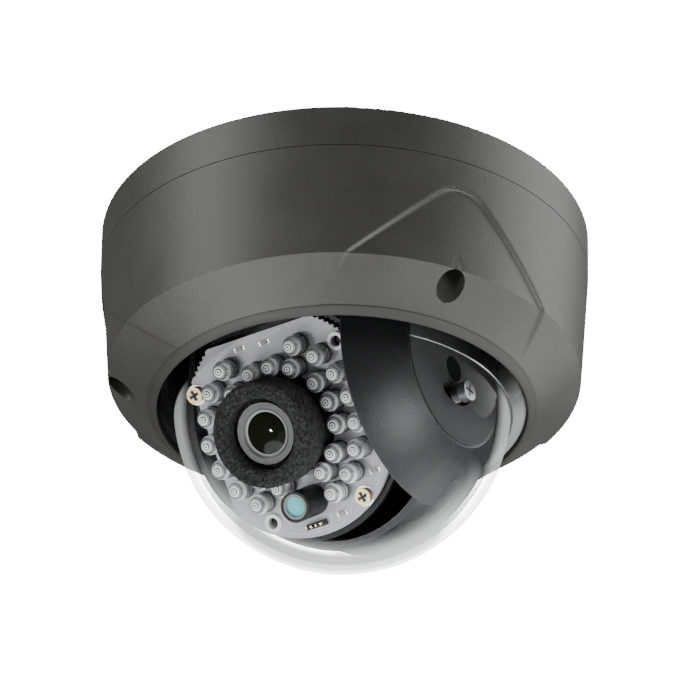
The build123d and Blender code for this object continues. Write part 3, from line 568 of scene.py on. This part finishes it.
# ---- main board in the base -------------------------------------------------------------
# Green glass-fibre board with black chips and white connectors.
green = surface("green_board", (0.012, 0.085, 0.035), (0.02, 0.14, 0.06), (0.3, 0.45), 0.6, 0.01,
                wear=(0.3, 0.28, 0.15), wear_edge=0.15)
paint(green, "main_board", "sensor_board")
chip = surface("black_chip", (0.012, 0.012, 0.013), (0.03, 0.03, 0.031), (0.45, 0.65), 0.25, 0.01)
paint(chip, "board_chips")
white_plastic = surface("white_plastic", (0.62, 0.62, 0.58), (0.78, 0.78, 0.74), (0.4, 0.55), 0.8, 0.01)
paint(white_plastic, "board_connectors", "sensor_connector")
sensor_glass = surface("sensor_glass", (0.03, 0.05, 0.05), (0.06, 0.1, 0.09), (0.05, 0.1), 2.0, 0.0)
paint(sensor_glass, "image_sensor", "infrared_filter")

# ---- pan bearing, bracket and black liner -----------------------------------------------
# Black acetal bearing plates, a dark painted steel bracket, and a satin black moulded ball
# that hides the works behind the lens window.
black_plastic = surface("black_plastic", (0.005, 0.005, 0.005), (0.010, 0.010, 0.010), (0.35, 0.5),
                        0.5, 0.015, wear=(0.05, 0.05, 0.05), shine=0.25)
dark_plastic = surface("dark_plastic", (0.036, 0.036, 0.037), (0.050, 0.050, 0.051), (0.6, 0.72),
                       0.4, 0.02, wear=(0.12, 0.12, 0.12), wear_edge=0.2, shine=0.2)
liner_black = surface("liner_black", (0.008, 0.008, 0.009), (0.014, 0.014, 0.015), (0.34, 0.42),
                      0.30, 0.13, wear=(0.10, 0.10, 0.11), wear_edge=0.25)
slots = {s["node"]: s["material_slot"] for s in frame["record"]["subparts"]}
for node, slot in slots.items():
    if slot == "black_plastic":
        paint(black_plastic, node)
    if slot == "dark_plastic":
        paint(dark_plastic, node)
    if slot == "liner_black":
        paint(liner_black, node)
ease("yoke", 0.2)
ease("liner", 0.25)
paint(zinc, "tilt_lock_screws")
ease("tilt_lock_screws", 0.2)
TO_SIDE = Matrix((Vector((-math.sin(PAN_ANGLE), math.cos(PAN_ANGLE), 0)), Vector((0, 0, 1)), AXIS_T))
TO_SIDE = TO_SIDE.transposed().to_4x4()
TO_SIDE.translation = BALL
threads = [(1.2, 30.02)]
for k in range(5):
    threads += [(1.75, 30.12 + 0.42 * k), (1.75, 30.2 + 0.42 * k), (1.3, 30.33 + 0.42 * k)]
threads.append((1.2, 32.12))
turned("lock_threads", threads, [(0, -7.0)], TO_SIDE, "tilt", zinc, steps=32)

# ---- lamp board ------------------------------------------------------------------------
# Board with silver-grey solder mask; fine copper tracks show faintly under it, with tinned
# pads, white collars round the two open holes and a snapped-off tab edge.
BOARD_FRONT = 15.9
silver_mask = surface("silver_board", (0.40, 0.39, 0.43), (0.50, 0.49, 0.53), (0.32, 0.46), 0.5, 0.01,
                      wear=(0.75, 0.73, 0.70), wear_edge=0.2, patch=6.0)
paint(silver_mask, "lamp_board")
collar_white = surface("collar_white", (0.80, 0.80, 0.79), (0.92, 0.92, 0.91), (0.3, 0.45), 0.5, 0.01)
paint(collar_white, "hole_collars")
ease("hole_collars", 0.15)
ceramic = surface("chip_ceramic", (0.30, 0.29, 0.27), (0.42, 0.41, 0.38), (0.4, 0.6), 0.3, 0.01)
paint(ceramic, "board_chip_parts")
paint(chip, "header_base")
tin = surface("tin_pads", (0.62, 0.62, 0.6), (0.85, 0.85, 0.82), (0.2, 0.35), 0.3, 0.01, metal=0.7)
tracks = surface("board_tracks", (0.55, 0.54, 0.57), (0.66, 0.65, 0.68), (0.3, 0.4), 0.5, 0.01)
gold = surface("gold_screw", (0.38, 0.31, 0.16), (0.62, 0.52, 0.30), (0.22, 0.35), 0.3, 0.01, metal=1.0,
               wear=(0.95, 0.9, 0.75), wear_edge=0.12)
paint(gold, "lamp_board_screws", "header_pins")
ease("lamp_board_screws", 0.15)
TRACK_LOW, TRACK_HIGH = BOARD_FRONT, BOARD_FRONT + 0.05
runs = []
ARC_STEPS, TRACK_WIDTH, OVERLAP = 12, 0.22, 1.05
for start, stop, radius in ((112, 128, 22.6), (108, 128, 21.9), (56, 72, 22.4), (-20, -50, 24.6),
                            (-22, -48, 24.0), (-75, -112, 24.9), (-78, -100, 24.2)):
    for k in range(ARC_STEPS):
        a0 = start + (stop - start) * (k + 0.5) / ARC_STEPS
        x, y = polar(radius, [a0])[0]
        length = math.radians(abs(stop - start) / ARC_STEPS) * radius * OVERLAP
        runs.append((x, y, a0 + 90, length, TRACK_WIDTH, TRACK_LOW, TRACK_HIGH))
for x, y, spin, length in ((-15.2, 13.2, 62, 6.0), (-14.2, 13.9, 62, 5.2), (3.0, 20.6, 8, 6.5),
                           (-3.5, 20.8, -4, 4.5), (4.6, -21.0, 75, 3.6), (8.4, -21.4, 60, 3.4),
                           (-8.6, -20.4, 110, 3.2)):
    runs.append((x, y, spin, length, TRACK_WIDTH, TRACK_LOW, TRACK_HIGH))
blocks("board_tracks", runs, TO_LENS, "tilt", tracks)
pads = []
for x, y, spin in [(*p, a) for a, p in zip((-8, -26, -43), polar(22.9, (-8, -26, -43)))] + [
        (-6.5, -19.6, 0), (5.4, -22.6, 0), (0.5, 19.2, 0), (-6.0, 19.6, 0)]:
    for side in (-1.05, 1.05):
        pads.append((x + side, y, 0, 0.6, 1.0, BOARD_FRONT, BOARD_FRONT + 0.12))
blocks("board_pads", pads, TO_LENS, "tilt", tin)
PAD_SPOTS = polar(24.0, (147.5,)) + polar(23.8, (-59.0,))
# Painted shade: black crosses laid on the two gold screw heads stand in for the shade in their cross
# recesses.
cross_shade_blocks = [(x, y, spin, 2.5, 0.55, 17.0, 17.23) for x, y in polar(24.0, (147.5,)) + polar(23.8, (-59.0,))
           for spin in (20, 110)]
blocks("screw_cross_shade", cross_shade_blocks, TO_LENS, "tilt", chip)
PAD_TOP = BOARD_FRONT + 0.06
turned("screw_pads", [(1.9, BOARD_FRONT), (1.9, PAD_TOP), (2.35, PAD_TOP), (2.35, BOARD_FRONT)],
       PAD_SPOTS, TO_LENS, "tilt", tin)

# ---- infrared lamps ---------------------------------------------------------------------
# Clear water-white resin lamps, 4.5 mm, each with a collar and a bright reflector cup
# with the chip in it.
OUTER_LEDS = [61 - 18.4 * k for k in range(8)] + [121 + 18.4 * k for k in range(7)]
INNER_LEDS = [c + d for c in (81, 9, -63, -135, 153) for d in (-22, 0, 22) if c + d != -85]
LED_SPOTS = polar(18.9, OUTER_LEDS) + polar(13.8, INNER_LEDS)
LED_R, LED_TIP = 2.25, 22.0
resin = bpy.data.materials.new("led_resin")
resin.use_nodes = True
rn, rl = resin.node_tree.nodes, resin.node_tree.links
resin_skin = rn["Principled BSDF"]
resin_skin.inputs["Base Color"].default_value = (0.52, 0.53, 0.54, 1)
resin_skin.inputs["Roughness"].default_value = 0.06
resin_skin.inputs["Coat Weight"].default_value = 1.0
pass_light = rn.new("ShaderNodeBsdfTransparent")
resin_mix = rn.new("ShaderNodeMixShader")
cloud = rn.new("ShaderNodeTexNoise")
cloud.inputs["Scale"].default_value = 900
clearness = rn.new("ShaderNodeMapRange")
clearness.inputs["From Min"].default_value = 0.35
clearness.inputs["From Max"].default_value = 0.65
clearness.inputs["To Min"].default_value = 0.25
clearness.inputs["To Max"].default_value = 0.75
rl.new(cloud.outputs["Fac"], clearness.inputs["Value"])
rl.new(clearness.outputs["Result"], resin_mix.inputs["Fac"])
rl.new(resin_skin.outputs["BSDF"], resin_mix.inputs[1])
rl.new(pass_light.outputs["BSDF"], resin_mix.inputs[2])
rl.new(resin_mix.outputs["Shader"], rn["Material Output"].inputs["Surface"])
dome = [(LED_R * math.cos(math.radians(a)), LED_TIP - LED_R + LED_R * math.sin(math.radians(a)))
        for a in range(0, 90, 9)]
turned("led_bodies", [(0, BOARD_FRONT + 0.06), (2.4, BOARD_FRONT + 0.06), (2.4, BOARD_FRONT + 0.85),
                      (LED_R, BOARD_FRONT + 0.95)] + dome + [(0, LED_TIP)],
       LED_SPOTS, TO_LENS, "tilt", resin, ("infrared_leds",), steps=32)
# The white serves the reflector cups and also the painted highlight rings on the domes; the black serves the
# chips and also the painted dark rings and lines.
bright = surface("led_cup_white_and_painted_highlight", (0.93, 0.93, 0.93), (0.99, 0.99, 0.99), (0.1, 0.25), 0.2, 0.01)
shade = surface("led_shade", (0.02, 0.02, 0.022), (0.05, 0.05, 0.055), (0.2, 0.35), 0.3, 0.01)
CUP = [(0, 17.55), (0.5, 17.6), (1.1, 18.2), (1.66, 18.75), (1.76, 18.7), (1.76, 16.3), (0, 16.3)]
turned("led_reflector_cups", CUP, LED_SPOTS, TO_LENS, "tilt", bright, steps=24)
turned("led_chips", [(0, 17.9), (0.3, 17.9), (0.3, 17.5), (0, 17.5)],
       LED_SPOTS, TO_LENS, "tilt", shade, steps=4)


def dome_band(name, start, stop, material):
    """Thin band round every lamp's dome between two angles from the tip, painting a ring of the refracted
    cup image, a highlight or a dark outline.
    """
    skin = LED_R + 0.015
    arc = [(skin * math.sin(math.radians(a)), LED_TIP - LED_R + skin * math.cos(math.radians(a)))
           for a in (start, (start + stop) / 2, stop)]
    turned(name, arc, LED_SPOTS, TO_LENS, "tilt", material, steps=28)


# Painted refraction and reflection: eye, rings, outline and side glint laid as bands on each dome.
dome_band("led_painted_eye", 0.5, 6, shade)
dome_band("led_painted_eye_ring", 6, 15, bright)
dome_band("led_painted_dark_ring", 15, 21, shade)
dome_band("led_painted_bright_ring", 21, 33, bright)
dome_band("led_painted_outer_line", 46, 50, shade)
dome_band("led_painted_side_glint", 62, 84, bright)
# Painted dark lines round the body and along the top of the collar.
turned("led_painted_waist_line", [(LED_R + 0.015, 18.6), (LED_R + 0.015, 18.3)], LED_SPOTS, TO_LENS, "tilt", shade,
       steps=28)
turned("led_painted_flange_line", [(2.25, 16.95), (2.41, 16.85), (2.41, 16.7)], LED_SPOTS, TO_LENS, "tilt", shade,
       steps=28)
# A dark ring low inside each collar, seen through the resin.
turned("led_low_dark_ring", [(1.98, 16.0), (2.2, 16.0), (2.2, 16.5), (1.98, 16.5), (1.98, 16.0)],
       LED_SPOTS, TO_LENS, "tilt", shade, steps=32)

# ---- daylight sensor --------------------------------------------------------------------
# Satin black tube with a grey front ring and a pale cyan glass cap set just inside it.
paint(black_plastic, "sensor_tube")
ease("sensor_tube", 0.15)
grey_plastic = surface("grey_plastic", (0.16, 0.16, 0.165), (0.24, 0.24, 0.245), (0.35, 0.5), 0.4, 0.01)
paint(grey_plastic, "sensor_rim")
cyan = surface("cyan_glass", (0.10, 0.55, 0.58), (0.30, 0.85, 0.86), (0.06, 0.12), 1.6, 0.0)
cyan.node_tree.nodes["Principled BSDF"].inputs["Coat Weight"].default_value = 1.0
paint(cyan, "sensor_window")

# ---- lens -------------------------------------------------------------------------------
# Anodised barrel with a grey front bezel, dark olive coated front glass, and a thick ring
# of black open-cell foam pressed over it to keep lamp light out of the lens.
paint(ring_paint, "lens_barrel")
ease("lens_barrel", 0.2)
bezel = surface("lens_bezel", (0.22, 0.22, 0.225), (0.30, 0.30, 0.305), (0.38, 0.5), 0.3, 0.01,
                wear=(0.4, 0.4, 0.4))
paint(bezel, "lens_holder")
glass = surface("lens_glass", (0.004, 0.005, 0.003), (0.008, 0.009, 0.005), (0.03, 0.06), 3.0, 0.0)
glass.node_tree.nodes["Principled BSDF"].inputs["Specular IOR Level"].default_value = 0.12
paint(glass, "rear_lens")
GLASS = [(0, 27.72), (1.2, 27.69), (2.4, 27.58), (3.5, 27.40), (4.3, 27.22), (4.75, 27.08),
         (4.75, 26.7), (0, 26.7)]
turned("lens_front", GLASS, [(0, 0)], TO_LENS, "lens", glass, ("front_lens",), steps=96)
BEZEL = [(4.76, 27.0), (4.8, 27.2), (5.0, 27.26), (5.6, 27.36), (6.4, 27.6), (6.8, 27.76),
         (6.96, 27.6), (6.96, 27.0)]
turned("lens_bezel", BEZEL, [(0, 0)], TO_LENS, "lens", bezel, steps=128)
foam = surface("black_foam", (0.005, 0.005, 0.005), (0.050, 0.050, 0.050), (0.9, 1.0), 0.34, 0.3,
               spread_from=(0.60, 1.0), shine=0.2, patch=0.7)
FOAM_R = 12.1
FOAM = [(7.05, 15.7), (11.0, 15.7), (11.0, 22.2), (11.3, 22.5),
        (FOAM_R - 0.15, 22.5), (FOAM_R, 22.8)]
FOAM += [(FOAM_R, 22.8 + 0.5 * k) for k in range(1, 14)]
FOAM += [(FOAM_R - 0.15, 30.0), (FOAM_R - 0.5, 30.4), (FOAM_R - 1.0, 30.58),
         (11.0, 30.6), (10.0, 30.6), (9.2, 30.58),
         (8.6, 30.4), (8.25, 30.0), (8.2, 29.4), (8.2, 28.6), (8.2, 27.8), (8.2, 26.2),
         (7.05, 26.0), (7.05, 15.7)]
foam_piece = turned("foam_ring_cells", FOAM, [(0, 0)], TO_LENS, "lens", foam, ("foam_ring",),
                    steps=220, jitter=0.0016)
